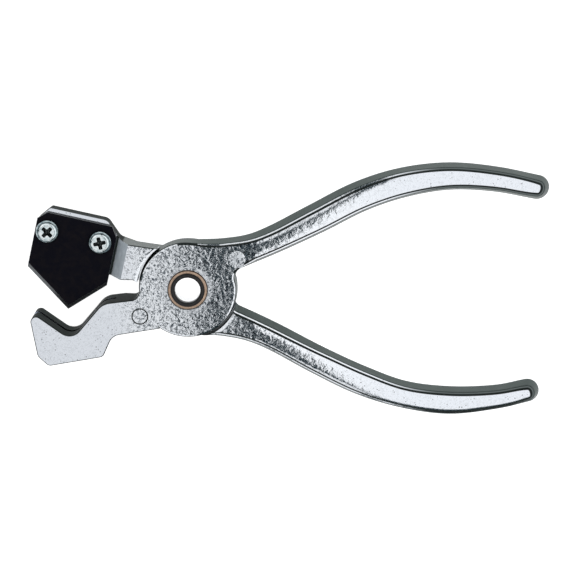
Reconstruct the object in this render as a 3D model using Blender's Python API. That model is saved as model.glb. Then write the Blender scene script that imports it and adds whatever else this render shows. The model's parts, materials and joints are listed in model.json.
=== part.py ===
"""Plier-type cutter: a pointed blade on one cast lever closes into a slotted V anvil on the other.

Lengths are in millimetres and become metres where a mesh is made. Every shape is drawn with the
pivot axis at x = y = 0 and the plane where the two hub discs lap at z = 0. The jaws point to -X,
the handles to +X, the blade jaw and the upper handle are on the +Y side, and +Z is the front.
"""

from math import atan2, ceil, cos, degrees, pi, radians, sin, tan

import bmesh
import bpy
from mathutils import Vector

MM = 0.001

# The tool lies on the backs of its jaws, with the middle of its footprint at the origin.
PIVOT_X = -38.0
PIVOT_Y = 0.9

# Hub: one disc of each lever, lapped on the pivot.
HUB_RADIUS = 18.4
HUB_HALF = 4.8
LAP_GAP = 0.3
STEP_RADIUS = 19.7
CLOSING_ANGLE = 15.0

# How finely round shapes are divided: sides of a circle, and degrees between points of an arc.
FINE = 48
COARSE = 24
CORNER_STEP = 15.0
SECTOR_STEP = 6.0

# Handles: rows of (x, y, width) along the middle of each handle, from the hub to the tip.
UPPER_HANDLE = (
    (8.0, 8.2, 13.0),
    (20.5, 13.9, 11.6),
    (33.0, 19.2, 11.4),
    (49.7, 28.1, 12.0),
    (66.3, 36.1, 12.0),
    (82.6, 41.4, 11.2),
    (100.1, 43.8, 10.3),
    (117.7, 42.7, 9.0),
    (134.0, 39.4, 8.8),
)
LOWER_HANDLE = (
    (8.0, -8.4, 13.0),
    (19.5, -13.1, 11.4),
    (33.0, -19.0, 10.5),
    (49.9, -28.2, 11.5),
    (67.0, -36.5, 11.8),
    (83.9, -43.1, 11.0),
    (102.0, -45.4, 10.6),
    (120.0, -43.9, 9.6),
    (132.4, -41.3, 9.1),
)
UPPER_WEB = ((0.0, 18.3), (9.0, 18.7), (17.5, 19.9), (24.5, 21.6), (22.0, 14.0), (8.0, 8.0))
LOWER_WEB = ((9.0, -15.9), (16.0, -19.6), (24.0, -20.9), (22.0, -14.0), (8.0, -8.0))
HANDLE_STEPS = 4
HANDLE_HALF_ROOT = 4.8
HANDLE_HALF_TIP = 4.7
HANDLE_ROUND = 2.3
ROUND_STEPS = 2
TIP_TILTS = (25, 45, 60, 72, 82)

# Jaws: rows of (x, y, corner radius). Both reach back to the same plane, on which the tool lies.
JAW_BACK = -10.7
ANVIL_OUTLINE = (
    (-12.0, 2.0, 0.0),
    (-17.6, 1.0, 0.0),
    (-20.0, -3.9, 3.0),
    (-33.0, -5.5, 7.0),
    (-45.2, -19.9, 5.0),
    (-61.9, -7.8, 2.2),
    (-58.6, -26.4, 2.5),
    (-54.5, -30.4, 2.5),
    (-33.2, -26.7, 2.2),
    (-29.4, -18.3, 5.0),
    (-11.0, -15.4, 0.0),
)
BLADE_JAW_OUTLINE = (
    (-9.0, 15.7, 0.0),
    (-26.4, 18.3, 3.0),
    (-31.2, 25.6, 3.5),
    (-53.0, 30.5, 1.0),
    (-58.0, 26.5, 1.0),
    (-61.5, 11.1, 1.5),
    (-30.3, 4.0, 0.6),
    (-21.0, 3.8, 1.0),
    (-16.0, 0.6, 0.0),
)
NECK_BACK_RUN = 6.0

# Blade: drawn square to its own edges, then turned by its tilt about the pivot.
BLADE_TILT = -12.8
BLADE_THICKNESS = 1.5
BLADE_FRONT = -2.2
BLADE_OUTLINE = (
    (-62.6, 13.3),
    (-59.2, 16.5),
    (-33.6, 16.5),
    (-31.1, 12.2),
    (-31.1, -6.9),
    (-43.9, -19.5),
    (-62.6, -6.2),
)
CUTTING_CORNERS = (4, 5, 6)
BLADE_GRIND = 1.3
PAD_FOOT = -30.3
PAD_TOP = -26.0
SLOT_WIDTH = 2.1
SLOT_FLOOR = ((-66.0, -11.2), (-43.2, -23.3), (-29.4, -9.8), (-27.6, -2.0), (-66.0, 0.0))

# Blade screws: places in the blade's own frame, and the turn of each cross recess.
SCREW_OUTER = (-57.6, 9.2, 45.0)
SCREW_INNER = (-37.0, 9.4, 12.0)
SCREW_HEAD_RADIUS = 4.5
SCREW_HEAD_HEIGHT = 2.7
SCREW_SHOULDER_HEIGHT = 1.2
SCREW_CROWN_HEIGHT = 2.15
SCREW_CROWN_INSETS = (0.5, 1.6)
SCREW_SHANK_RADIUS = 2.4
SCREW_LENGTH = 8.0
SCREW_TIP_CHAMFER = 0.6
RECESS_SPAN = 4.9
RECESS_WIDTH = 1.2
RECESS_DEPTH = 1.7
TAPPED_RADIUS = 2.46
BLADE_HOLE_RADIUS = 2.7

# Pivot: a bushing through both discs, clamped by a hollow rivet with rolled ends.
BUSHING_RADIUS = 6.9
BUSHING_BORE = 5.75
FLANGE_RADIUS = 7.7
FLANGE_THICKNESS = 0.85
COUNTERBORE_RADIUS = 7.95
COUNTERBORE_DEPTH = 0.6
RUNNING_FIT = 0.06
SEAT_GAP = 0.1
RIVET_SHANK_RADIUS = 5.65
RIVET_BORE_FRONT = 4.9
RIVET_BORE_BACK = 5.25
RIVET_LIP_RADIUS = 6.5
RIVET_LIP_HEIGHT = 0.8
BORE_STRAIGHT_END = 3.4
LIP_STEPS = 5

# Return spring: two turns of wire in a ring-shaped pocket shared by both discs.
WIRE_RADIUS = 0.6
COIL_RADIUS = 10.7
COIL_TURNS = 2
COIL_RISE = 1.35
LEG_REACH = 14.2
LEG_BEND = 1.5
LEG_ANGLE = 60.0
POCKET_INNER = 9.4
POCKET_OUTER = 12.0
POCKET_DEPTH = 2.35
COIL_STEPS = 20
WIRE_SIDES = 8
LEG_SLOT_OUTER = 15.0
LEG_SLOT_HALF_ANGLE = 8.5

# Opening stop: a lug on the rear disc runs in an arc pocket of the front disc.
STOP_INNER = 13.2
STOP_OUTER = 16.4
STOP_MIDDLE = 250.0
STOP_HALF_ANGLE = 11.0
STOP_HEIGHT = 2.1
STOP_GAP = 0.3

# Cutters and joined shapes run past the faces they meet by a little. The pad and neck cutters
# also reach sideways past the whole jaw.
OVERRUN = 2.0
JAW_REACH = 40.0


def clear_scene():
    for old in list(bpy.data.objects):
        bpy.data.objects.remove(old)


def make_material(name, colour, roughness, metallic):
    material = bpy.data.materials.new(name)
    material.use_nodes = True
    shader = material.node_tree.nodes["Principled BSDF"]
    shader.inputs["Base Color"].default_value = (*colour, 1.0)
    shader.inputs["Roughness"].default_value = roughness
    shader.inputs["Metallic"].default_value = metallic
    material.diffuse_color = (*colour, 1.0)
    return material


def make_object(name, mesh_data):
    """A new object from a bmesh drawn in millimetres, with all faces pointing out."""
    bmesh.ops.recalc_face_normals(mesh_data, faces=mesh_data.faces)
    bmesh.ops.scale(mesh_data, vec=(MM, MM, MM), verts=mesh_data.verts)
    mesh = bpy.data.meshes.new(name)
    mesh_data.to_mesh(mesh)
    mesh_data.free()
    shape = bpy.data.objects.new(name, mesh)
    bpy.context.scene.collection.objects.link(shape)
    return shape


def combine(target, tool, operation):
    """Joins the tool to the target or cuts it away, and removes the tool."""
    modifier = target.modifiers.new("Combine", "BOOLEAN")
    modifier.object = tool
    modifier.operation = operation
    modifier.solver = "EXACT"
    graph = bpy.context.evaluated_depsgraph_get()
    result = bpy.data.meshes.new_from_object(target.evaluated_get(graph))
    target.modifiers.clear()
    target.data = result
    bpy.data.objects.remove(tool)


def join(target, *tools):
    for tool in tools:
        combine(target, tool, "UNION")


def cut(target, *tools):
    for tool in tools:
        combine(target, tool, "DIFFERENCE")


def arc(centre, radius, start, end, steps):
    """Points along an arc, with angles in degrees."""
    points = []
    for step in range(steps + 1):
        angle = radians(start + (end - start) * step / steps)
        points.append((centre[0] + radius * cos(angle), centre[1] + radius * sin(angle)))
    return points


def turned_about_pivot(point, angle):
    x, y = point
    turn = radians(angle)
    return (x * cos(turn) - y * sin(turn), x * sin(turn) + y * cos(turn))


def on_blade(point):
    """A point in the blade's own frame, placed in the tool."""
    return turned_about_pivot(point, BLADE_TILT)


def rounded(corners):
    """An outline from rows of (x, y, radius), with an arc at each corner that has a radius."""
    outline = []
    for index, (x, y, radius) in enumerate(corners):
        corner = Vector((x, y))
        if radius == 0:
            outline.append((x, y))
            continue
        before = (Vector(corners[index - 1][:2]) - corner).normalized()
        after = (Vector(corners[(index + 1) % len(corners)][:2]) - corner).normalized()
        half = before.angle(after) / 2
        centre = corner + (before + after).normalized() * radius / sin(half)
        first = corner + before * radius / tan(half) - centre
        last = corner + after * radius / tan(half) - centre
        start = degrees(atan2(first.y, first.x))
        turn = (degrees(atan2(last.y, last.x)) - start + 180) % 360 - 180
        steps = max(2, ceil(abs(turn) / CORNER_STEP))
        outline.extend(arc(centre, radius, start, start + turn, steps))
    return outline


def smooth_rows(rows, steps):
    """Catmull-Rom curve through rows of numbers, ending on the last row."""
    found = []
    rows = [Vector(row) for row in rows]
    ends = [2 * rows[0] - rows[1]] + rows + [2 * rows[-1] - rows[-2]]
    for before, start, end, after in zip(ends, ends[1:], ends[2:], ends[3:]):
        for step in range(steps):
            t = step / steps
            found.append(
                start
                + (end - before) * (t / 2)
                + (2 * before - 5 * start + 4 * end - after) * (t * t / 2)
                + (3 * start - before - 3 * end + after) * (t * t * t / 2)
            )
    return found + [rows[-1]]


def prism(name, outline, low, high):
    """A straight-sided solid on an outline, between two heights."""
    shape = bmesh.new()
    face = shape.faces.new([shape.verts.new((x, y, low)) for x, y in outline])
    raised = bmesh.ops.extrude_face_region(shape, geom=[face])
    moved = [part for part in raised["geom"] if isinstance(part, bmesh.types.BMVert)]
    bmesh.ops.translate(shape, vec=(0, 0, high - low), verts=moved)
    return make_object(name, shape)


def loft(name, rings):
    """A solid through closed rings of equal length, with flat ends."""
    shape = bmesh.new()
    rows = [[shape.verts.new(point) for point in ring] for ring in rings]
    for row, following in zip(rows, rows[1:]):
        for index in range(len(row)):
            back = index - 1
            shape.faces.new((row[back], row[index], following[index], following[back]))
    shape.faces.new(rows[0])
    shape.faces.new(rows[-1])
    return make_object(name, shape)


def turned(name, profile, steps, closed=True):
    """A solid of revolution. An open profile starts and ends on the axis."""
    shape = bmesh.new()
    rings = []
    for radius, height in profile:
        if radius == 0:
            rings.append([shape.verts.new((0, 0, height))] * steps)
            continue
        ring = arc((0, 0), radius, 0, 360 - 360 / steps, steps - 1)
        rings.append([shape.verts.new((x, y, height)) for x, y in ring])
    pairs = list(zip(rings, rings[1:]))
    if closed:
        pairs.append((rings[-1], rings[0]))
    for ring, following in pairs:
        for index in range(steps):
            back = index - 1
            corners = (ring[back], ring[index], following[index], following[back])
            shape.faces.new(dict.fromkeys(corners))
    return make_object(name, shape)


def cylinder(name, radius, low, high, steps=FINE):
    return prism(name, arc((0, 0), radius, 0, 360 - 360 / steps, steps - 1), low, high)


def ring_sector(name, inner, outer, start, end, low, high):
    """Part of a flat ring between two angles in degrees."""
    steps = ceil((end - start) / SECTOR_STEP)
    outline = arc((0, 0), inner, start, end, steps) + arc((0, 0), outer, end, start, steps)
    return prism(name, outline, low, high)


def ring_groove(name, inner, outer, low, high):
    return turned(name, ((inner, low), (outer, low), (outer, high), (inner, high)), FINE)


def handle_section(half_width, half_height):
    """Rounded rectangle across a handle, as (sideways, up) pairs."""
    wide = half_width - HANDLE_ROUND
    tall = half_height - HANDLE_ROUND
    points = []
    for start, side, up in ((0, 1, 1), (90, -1, 1), (180, -1, -1), (270, 1, -1)):
        centre = (side * wide, up * tall)
        points.extend(arc(centre, HANDLE_ROUND, start, start + 90, ROUND_STEPS))
    return points


def make_handle(name, rows):
    """A handle swept along its middle line, ending in a rounded tip."""
    path = smooth_rows(rows, HANDLE_STEPS)
    rings = []
    for index, (x, y, width) in enumerate(path):
        before = path[max(index - 1, 0)]
        after = path[min(index + 1, len(path) - 1)]
        along = Vector((after[0] - before[0], after[1] - before[1], 0)).normalized()
        across = Vector((-along.y, along.x, 0))
        share = index / (len(path) - 1)
        half_height = HANDLE_HALF_ROOT + (HANDLE_HALF_TIP - HANDLE_HALF_ROOT) * share
        section = handle_section(width / 2, half_height)
        middle = Vector((x, y, 0))
        rings.append([middle + across * side + Vector((0, 0, up)) for side, up in section])
    tip_radius = path[-1][2] / 2
    last_ring = rings[-1]
    for tilt in TIP_TILTS:
        ring = []
        for point in last_ring:
            offset = point - middle
            sideways = across * offset.dot(across) * cos(radians(tilt))
            edge_drop = 1 - (HANDLE_ROUND / 2 / half_height) * (1 - cos(radians(tilt)))
            up = Vector((0, 0, offset.z * edge_drop))
            ring.append(middle + along * tip_radius * sin(radians(tilt)) + sideways + up)
        rings.append(ring)
    return loft(name, rings)


def pad_cutter(name):
    """Clears the blade's pad: flat at the blade's back, then a ramp up to the neck's front face."""
    pad_level = BLADE_FRONT - BLADE_THICKNESS
    slope = (PAD_TOP - PAD_FOOT) / (HUB_HALF - pad_level)
    top = HUB_HALF + OVERRUN
    profile = (
        (-2 * JAW_REACH, pad_level),
        (PAD_FOOT, pad_level),
        (PAD_FOOT + slope * (top - pad_level), top),
        (-2 * JAW_REACH, top),
    )
    rings = []
    for v in (-JAW_REACH, JAW_REACH):
        rings.append([(*on_blade((u, v)), z) for u, z in profile])
    return loft(name, rings)


def neck_back_cutter(name, start, end):
    """Slopes the back of a neck from the jaw's back plane up to the hub's back face."""
    low = JAW_BACK - OVERRUN
    profile = (
        (start, JAW_BACK),
        (end, -HUB_HALF),
        (JAW_REACH, -HUB_HALF),
        (JAW_REACH, low),
        (start, low),
    )
    return loft(name, [[(x, y, z) for x, z in profile] for y in (-JAW_REACH, JAW_REACH)])


def cut_pivot(lever, front):
    """Bores a hub disc and cuts its counterbore and its half of the spring pocket."""
    side = 1 if front else -1
    face = side * HUB_HALF
    floor = side * (HUB_HALF - COUNTERBORE_DEPTH)
    pocket = side * (LAP_GAP / 2 + POCKET_DEPTH)
    beyond = side * OVERRUN
    cut(
        lever,
        cylinder("bore", BUSHING_RADIUS + RUNNING_FIT, -HUB_HALF - OVERRUN, HUB_HALF + OVERRUN),
        cylinder("counterbore", COUNTERBORE_RADIUS, *sorted((floor, face + beyond))),
        ring_groove("pocket", POCKET_INNER, POCKET_OUTER, *sorted((-beyond, pocket))),
    )


def make_anvil_lever():
    """Front disc, anvil jaw and upper handle in one casting."""
    lever = cylinder("anvil_lever", HUB_RADIUS, -HUB_HALF, HUB_HALF)
    join(lever, make_handle("handle", UPPER_HANDLE), prism("web", UPPER_WEB, -HUB_HALF, HUB_HALF))
    jaw = prism("jaw", rounded(ANVIL_OUTLINE), JAW_BACK, HUB_HALF)
    cut(jaw, neck_back_cutter("neck_back", -STEP_RADIUS - NECK_BACK_RUN, -STEP_RADIUS + OVERRUN))
    join(lever, jaw)
    blade_middle = BLADE_FRONT - BLADE_THICKNESS / 2
    slot_low = blade_middle - SLOT_WIDTH / 2
    cut(
        lever,
        prism("slot", SLOT_FLOOR, slot_low, slot_low + SLOT_WIDTH),
        cylinder("step", STEP_RADIUS, JAW_BACK - OVERRUN, LAP_GAP / 2),
    )
    cut_pivot(lever, front=True)
    pocket_top = LAP_GAP / 2 + POCKET_DEPTH
    stop_margin = degrees(STOP_GAP / STOP_INNER)
    cut(
        lever,
        ring_sector(
            "leg_slot",
            POCKET_INNER + WIRE_RADIUS,
            LEG_SLOT_OUTER,
            LEG_ANGLE - LEG_SLOT_HALF_ANGLE,
            LEG_ANGLE + LEG_SLOT_HALF_ANGLE,
            -OVERRUN,
            pocket_top,
        ),
        ring_sector(
            "stop_pocket",
            STOP_INNER - STOP_GAP,
            STOP_OUTER + STOP_GAP,
            STOP_MIDDLE - STOP_HALF_ANGLE - stop_margin,
            STOP_MIDDLE + STOP_HALF_ANGLE + CLOSING_ANGLE + stop_margin,
            -OVERRUN,
            STOP_HEIGHT + STOP_GAP,
        ),
    )
    return lever


def make_blade_lever():
    """Rear disc, blade jaw and lower handle in one casting."""
    lever = cylinder("blade_lever", HUB_RADIUS, -HUB_HALF, HUB_HALF)
    join(lever, make_handle("handle", LOWER_HANDLE), prism("web", LOWER_WEB, -HUB_HALF, HUB_HALF))
    jaw = prism("jaw", rounded(BLADE_JAW_OUTLINE), JAW_BACK, HUB_HALF)
    cut(jaw, neck_back_cutter("neck_back", -STEP_RADIUS - NECK_BACK_RUN, -STEP_RADIUS))
    join(lever, jaw)
    cut(
        lever,
        pad_cutter("pad"),
        cylinder("step", STEP_RADIUS, -LAP_GAP / 2, HUB_HALF + OVERRUN),
    )
    cut_pivot(lever, front=False)
    cut(
        lever,
        ring_sector(
            "leg_slot",
            POCKET_INNER + WIRE_RADIUS,
            LEG_SLOT_OUTER,
            -LEG_ANGLE - LEG_SLOT_HALF_ANGLE - CLOSING_ANGLE,
            -LEG_ANGLE + LEG_SLOT_HALF_ANGLE,
            -LAP_GAP / 2 - POCKET_DEPTH,
            OVERRUN,
        ),
    )
    for u, v, _ in (SCREW_OUTER, SCREW_INNER):
        tapped = arc(on_blade((u, v)), TAPPED_RADIUS, 0, 360 - 360 / COARSE, COARSE - 1)
        cut(lever, prism("tapped", tapped, JAW_BACK - OVERRUN, HUB_HALF))
    lug = ring_sector(
        "lug",
        STOP_INNER,
        STOP_OUTER,
        STOP_MIDDLE - STOP_HALF_ANGLE,
        STOP_MIDDLE + STOP_HALF_ANGLE,
        -OVERRUN,
        STOP_HEIGHT,
    )
    join(lever, lug)
    return lever


def ground_outline():
    """The blade's face: its outline with the two cutting edges moved in by the grind."""
    lines = []
    for index, start in enumerate(BLADE_OUTLINE):
        end = BLADE_OUTLINE[(index + 1) % len(BLADE_OUTLINE)]
        start, end = Vector(start), Vector(end)
        along = (end - start).normalized()
        inward = Vector((along.y, -along.x))
        ground = index in CUTTING_CORNERS[:-1]
        lines.append((start + inward * (BLADE_GRIND if ground else 0), along))
    corners = []
    for (first, along), (second, heading) in zip([lines[-1]] + lines, lines):
        reach = (second - first).cross(heading) / along.cross(heading)
        corners.append(first + along * reach)
    return corners


def make_blade():
    """Flat plate with both faces ground back along the two lower edges, and two screw holes."""
    back = BLADE_FRONT - BLADE_THICKNESS + SEAT_GAP
    middle = (BLADE_FRONT + back) / 2
    shape = bmesh.new()
    for z in (BLADE_FRONT, back):
        for corner in ground_outline():
            shape.verts.new((*on_blade(corner), z))
    for index in CUTTING_CORNERS:
        shape.verts.new((*on_blade(BLADE_OUTLINE[index]), middle))
    bmesh.ops.convex_hull(shape, input=shape.verts)
    blade = make_object("blade", shape)
    for u, v, _ in (SCREW_OUTER, SCREW_INNER):
        hole = arc(on_blade((u, v)), BLADE_HOLE_RADIUS, 0, 360 - 360 / COARSE, COARSE - 1)
        cut(blade, prism("hole", hole, back - OVERRUN, BLADE_FRONT + OVERRUN))
    return blade


def cross_outline(turn):
    """Outline of a cross recess, turned by an angle."""
    reach = RECESS_SPAN / 2
    side = RECESS_WIDTH / 2
    corners = []
    for quarter in range(4):
        for point in ((reach, -side), (reach, side), (side, side)):
            corners.append(turned_about_pivot(point, turn + 90 * quarter))
    return corners


def make_screw(name, place):
    """Pan-head screw with a cross recess, drawn about its own axis and set on the blade."""
    u, v, turn = place
    under_head = SEAT_GAP
    outer_inset, inner_inset = SCREW_CROWN_INSETS
    profile = (
        (0, -SCREW_LENGTH),
        (SCREW_SHANK_RADIUS - SCREW_TIP_CHAMFER, -SCREW_LENGTH),
        (SCREW_SHANK_RADIUS, -SCREW_LENGTH + SCREW_TIP_CHAMFER),
        (SCREW_SHANK_RADIUS, under_head),
        (SCREW_HEAD_RADIUS, under_head),
        (SCREW_HEAD_RADIUS, SCREW_SHOULDER_HEIGHT),
        (SCREW_HEAD_RADIUS - outer_inset, SCREW_CROWN_HEIGHT),
        (SCREW_HEAD_RADIUS - inner_inset, SCREW_HEAD_HEIGHT),
        (0, SCREW_HEAD_HEIGHT),
    )
    screw = turned(name, profile, COARSE, closed=False)
    floor = SCREW_HEAD_HEIGHT - RECESS_DEPTH
    cut(screw, prism("recess", cross_outline(turn), floor, SCREW_HEAD_HEIGHT + OVERRUN))
    x, y = on_blade((u, v))
    screw.location = (x * MM, y * MM, BLADE_FRONT * MM)
    return screw


def make_bushing():
    """Flanged bushing: the flange sits in the front counterbore, the barrel carries both discs."""
    seat = HUB_HALF - COUNTERBORE_DEPTH + SEAT_GAP
    end = -HUB_HALF + COUNTERBORE_DEPTH - SEAT_GAP
    front = seat + FLANGE_THICKNESS
    profile = (
        (BUSHING_BORE, end),
        (BUSHING_RADIUS, end),
        (BUSHING_RADIUS, seat),
        (FLANGE_RADIUS, seat),
        (FLANGE_RADIUS, front),
        (BUSHING_BORE, front),
    )
    return turned("pivot_bushing", profile, FINE)


def make_washer():
    """Washer in the rear counterbore, under the rivet's rear lip."""
    back = -HUB_HALF + COUNTERBORE_DEPTH - SEAT_GAP - FLANGE_THICKNESS
    front = -HUB_HALF + COUNTERBORE_DEPTH - 2 * SEAT_GAP
    return turned(
        "rivet_washer",
        ((BUSHING_BORE, back), (FLANGE_RADIUS, back), (FLANGE_RADIUS, front), (BUSHING_BORE, front)),
        FINE,
    )


def make_rivet():
    """Hollow rivet: a tube whose two ends are rolled outwards over the bushing and the washer."""
    seat = HUB_HALF - COUNTERBORE_DEPTH + SEAT_GAP + FLANGE_THICKNESS + SEAT_GAP
    profile = []
    for side, bore in ((1, RIVET_BORE_FRONT), (-1, RIVET_BORE_BACK)):
        middle = (bore + RIVET_LIP_RADIUS) / 2
        half_wide = (RIVET_LIP_RADIUS - bore) / 2
        half = [(bore, side * BORE_STRAIGHT_END)]
        for x, z in arc((0, 0), 1, 180, 0, LIP_STEPS):
            half.append((middle + half_wide * x, side * (seat + RIVET_LIP_HEIGHT * z)))
        half.append((RIVET_SHANK_RADIUS, side * seat))
        profile.extend(half if side == 1 else reversed(half))
    return turned("pivot_rivet", profile, FINE)


def spring_path():
    """Middle line of the wire: a leg into the front disc, the coils, and a leg into the rear disc."""
    height = COIL_RISE * COIL_TURNS / 2
    centre_out = COIL_RADIUS + LEG_BEND
    bend = arc((centre_out, LEG_BEND), LEG_BEND, 270, 180, ROUND_STEPS + 1)
    lead = [(LEG_REACH, 0.0)] + bend
    start = atan2(lead[-1][1], lead[-1][0])
    front = [turned_about_pivot(point, LEG_ANGLE) for point in lead]
    back = [turned_about_pivot((x, -y), -LEG_ANGLE) for x, y in reversed(lead)]
    first = radians(LEG_ANGLE) + start
    last = radians(-LEG_ANGLE) - start + 2 * pi * COIL_TURNS
    steps = COIL_STEPS * COIL_TURNS
    path = [Vector((x, y, height)) for x, y in front]
    for step in range(1, steps):
        angle = first + (last - first) * step / steps
        rise = height - 2 * height * step / steps
        path.append(Vector((COIL_RADIUS * cos(angle), COIL_RADIUS * sin(angle), rise)))
    return path + [Vector((x, y, -height)) for x, y in back]


def make_spring():
    """Torsion spring swept from its middle line."""
    path = spring_path()
    rings = []
    for index, point in enumerate(path):
        along = (path[min(index + 1, len(path) - 1)] - path[max(index - 1, 0)]).normalized()
        across = along.cross(Vector((0, 0, 1))).normalized()
        up = across.cross(along)
        ring = arc((0, 0), WIRE_RADIUS, 0, 360 - 360 / WIRE_SIDES, WIRE_SIDES - 1)
        rings.append([point + across * side + up * rise for side, rise in ring])
    return loft("return_spring", rings)


def finish(shape, material, parent):
    """Gives a piece its material, smooth round faces and a parent."""
    shape.data.materials.clear()
    shape.data.materials.append(material)
    shape.data.shade_smooth()
    shape.data.set_sharp_from_angle(angle=radians(30))
    shape.parent = parent


def make_side(name, parent):
    """An empty on the pivot axis, which carries every piece that turns together."""
    side = bpy.data.objects.new(name, None)
    bpy.context.scene.collection.objects.link(side)
    side.parent = parent
    return side


def main():
    clear_scene()
    plated = make_material("plated_casting", (0.72, 0.73, 0.74), 0.28, 1.0)
    blackened = make_material("blackened_steel", (0.012, 0.012, 0.018), 0.38, 0.6)
    zinc = make_material("zinc_plated_screw", (0.45, 0.52, 0.53), 0.3, 1.0)
    bronze = make_material("bronze", (0.62, 0.42, 0.27), 0.38, 1.0)
    spring_steel = make_material("spring_steel", (0.3, 0.3, 0.31), 0.35, 1.0)

    tool = make_side("tool", None)
    tool.location = (PIVOT_X * MM, PIVOT_Y * MM, -JAW_BACK * MM)
    anvil_side = make_side("anvil_side", tool)
    blade_side = make_side("blade_side", tool)

    finish(make_anvil_lever(), plated, anvil_side)
    finish(make_bushing(), bronze, anvil_side)
    finish(make_washer(), bronze, anvil_side)
    finish(make_rivet(), blackened, anvil_side)
    finish(make_spring(), spring_steel, anvil_side)
    finish(make_blade_lever(), plated, blade_side)
    finish(make_blade(), blackened, blade_side)
    finish(make_screw("blade_screw_outer", SCREW_OUTER), zinc, blade_side)
    finish(make_screw("blade_screw_inner", SCREW_INNER), zinc, blade_side)


main()
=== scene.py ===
"""Looks of the plier-type cutter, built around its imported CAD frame.

Lengths are in millimetres about the pivot, as in the CAD source: the pivot axis is x = y = 0, the
plane where the two hub discs lap is z = 0, jaws to -X, handles to +X and +Z the front. They become
metres, placed on the pivot joint of the frame, where a mesh is made.
"""

import json
from math import atan2, ceil, cos, degrees, hypot, pi, radians, sin, tan

import bmesh
import bpy
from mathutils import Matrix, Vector


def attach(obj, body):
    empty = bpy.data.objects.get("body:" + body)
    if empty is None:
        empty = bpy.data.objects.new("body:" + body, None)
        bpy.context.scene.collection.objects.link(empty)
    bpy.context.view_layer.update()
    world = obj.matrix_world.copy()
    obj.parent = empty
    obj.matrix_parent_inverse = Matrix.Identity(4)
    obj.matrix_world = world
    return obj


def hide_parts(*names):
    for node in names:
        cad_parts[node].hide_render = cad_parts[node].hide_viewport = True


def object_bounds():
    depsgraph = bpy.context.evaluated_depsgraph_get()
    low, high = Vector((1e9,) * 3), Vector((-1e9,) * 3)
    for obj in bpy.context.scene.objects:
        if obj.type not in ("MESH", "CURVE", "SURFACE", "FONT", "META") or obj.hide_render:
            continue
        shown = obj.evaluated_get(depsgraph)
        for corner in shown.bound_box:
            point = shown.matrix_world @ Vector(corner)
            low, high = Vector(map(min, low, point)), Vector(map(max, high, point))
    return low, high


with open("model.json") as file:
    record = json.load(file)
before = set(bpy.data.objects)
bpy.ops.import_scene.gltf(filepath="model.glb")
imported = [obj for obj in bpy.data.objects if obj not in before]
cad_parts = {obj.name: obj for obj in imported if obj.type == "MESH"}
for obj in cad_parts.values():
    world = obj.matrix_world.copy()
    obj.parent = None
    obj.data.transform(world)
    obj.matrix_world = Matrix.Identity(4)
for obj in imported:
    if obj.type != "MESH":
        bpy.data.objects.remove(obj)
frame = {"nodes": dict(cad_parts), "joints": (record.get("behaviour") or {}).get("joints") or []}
cad_low, cad_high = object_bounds()
PIVOT = Vector(frame["joints"][0]["pos_m"])
MM = 0.001

# Shares of a face's normal. A casting's face is flat, and so plated bright, above the first in Z.
# The blade's ramp leans back past the next two, in X and Z. The blade's ground bevels lie between
# the last two, in Z.
FLAT_ENOUGH = 0.975
RAMP_LEAN = (-0.7, 0.35)
BEVEL_LEAN = (0.1, 0.95)

# Faces that meet at a larger angle than this, in degrees, meet in an edge.
SHARP_CAST = 9.0
SHARP_TURNED = 28.0

# Hub: one disc of each lever, lapped on the pivot.
HUB_RADIUS = 19.2
HUB_HALF = 4.8
LAP_GAP = 0.3
STEP_RADIUS = 19.7
CLOSING_ANGLE = 15.0

# How finely round shapes are divided: sides of a circle, and degrees between points of an arc.
FINE = 128
COARSE = 64
CORNER_STEP = 6.0
SECTOR_STEP = 3.0

# Handles: rows of (x, y, width) along the middle of each handle, from the hub to the tip.
UPPER_HANDLE = (
    (20.5, 13.9, 11.6),
    (33.0, 18.9, 11.1),
    (49.7, 27.2, 12.0),
    (66.3, 35.7, 12.1),
    (82.6, 41.1, 11.7),
    (100.1, 43.6, 10.7),
    (117.7, 42.5, 9.8),
    (134.0, 39.4, 9.4),
)
LOWER_HANDLE = (
    (19.5, -13.7, 12.4),
    (33.0, -19.7, 11.2),
    (49.9, -28.9, 11.5),
    (67.0, -37.2, 11.9),
    (83.9, -43.0, 11.1),
    (102.0, -45.4, 11.4),
    (120.0, -44.1, 9.9),
    (132.4, -41.4, 9.4),
)
HANDLE_STEPS = 8
TIP_STEPS = 16

# Where each handle leaves its disc: the outer edge as a curve through (x, y) points, and the
# inner edge as a fillet, a row of (x, y, corner radius). The curve goes on through three of the
# points along the handle's outer edge and follows the edge from the second of them, and the
# fillet takes the inner edge up from one point, down to the disc's first point at an angle.
WEB_MEETS = (3, 8, 14)
FILLET_MEETS = 3
DISC_START = 6.0
UPPER_WEB = ((0.0, 19.2), (8.0, 19.15), (15.0, 19.6))
UPPER_FILLET = (17.8, 6.5, 3.2)
LOWER_WEB = ((1.0, -19.2), (8.0, -19.1), (14.0, -19.6))
LOWER_FILLET = (17.8, -6.2, 2.6)

# Edge profiles, as (distance in from the outline, height above the lap plane). A disc has a small
# rounded edge. A handle has a drafted side, a narrow ledge and a bank up to its raised panel.
HUB_EDGE = (
    (0.0, 0.0), (0.22, 2.0), (0.42, 3.9), (0.5, 4.35),
    (0.62, 4.6), (0.8, 4.69), (1.35, 4.8), (1.85, 4.8),
)
HANDLE_EDGE = (
    (0.0, 0.0), (0.6, 1.9), (1.2, 3.75), (1.36, 4.0),
    (1.52, 4.1), (2.0, 4.16), (2.5, 4.66), (2.7, 4.8),
)
BANK_FOOT = 4.2

# A handle's edge broadens over a run up to its tip: for each row of the profile, how much further
# in it lies at the very tip.
TIP_INSETS = (0.0, 0.35, 0.8, 0.9, 0.95, 1.0, 1.35, 1.4)
TIP_RUN = 11.0

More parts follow.
